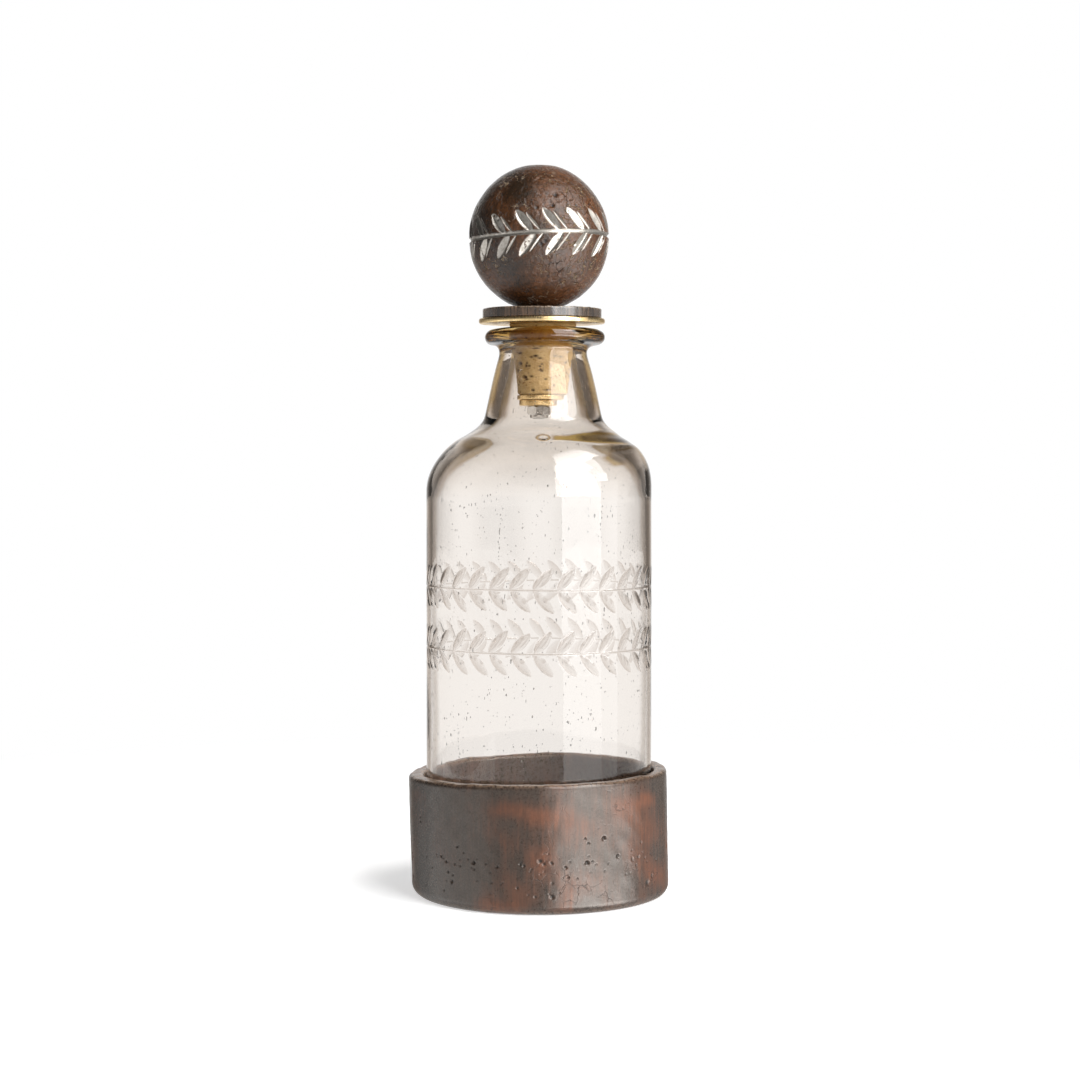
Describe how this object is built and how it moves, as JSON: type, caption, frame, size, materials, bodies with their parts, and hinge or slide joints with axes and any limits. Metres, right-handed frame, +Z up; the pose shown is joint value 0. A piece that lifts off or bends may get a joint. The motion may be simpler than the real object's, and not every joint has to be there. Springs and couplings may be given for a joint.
{
  "type": "decanter",
  "caption": "Blown glass decanter with cut leaf vines, standing loose in a turned wooden cup and closed by a cork stopper with a brass plate and a carved wooden ball.",
  "frame": {"origin": "centre of the cup's foot, on the surface that the decanter stands on", "axes": "+Z up along the bottle's axis; -Y is the side that faces the camera in the picture; +X is to the right of that view"},
  "size_m": [0.1197, 0.1186, 0.3316],
  "materials": {
    "cup_wood": "dark stain, waxed",
    "ball_wood": "dark stain, waxed, silver in the carving",
    "disc_wood": "dark stain, matt edge",
    "cork": "natural cork",
    "clear_glass": "blown, clear, a few seeds, cut leaves",
    "brass": "polished",
    "plated_steel": "bright plating",
    "nylon": "moulded"
  },
  "bodies": {
    "cup": {"wooden_cup": "cup_wood"},
    "bottle": {"glass_bottle": "clear_glass"},
    "stopper": {"cork": "cork", "brass_plate": "brass", "stopper_disc": "disc_wood", "stopper_ball": "ball_wood", "stud": "plated_steel", "cork_washer": "brass", "nut_washer": "brass", "lock_nut": "plated_steel", "nut_insert": "nylon"}
  },
  "joints": [
    {"name": "bottle_lift", "type": "slide", "parent": "cup", "child": "bottle", "axis": [0, 0, 1], "range_m": [0, 0.06]},
    {"name": "stopper_lift", "type": "slide", "parent": "bottle", "child": "stopper", "axis": [0, 0, 1], "range_m": [0, 0.06]}
  ]
}
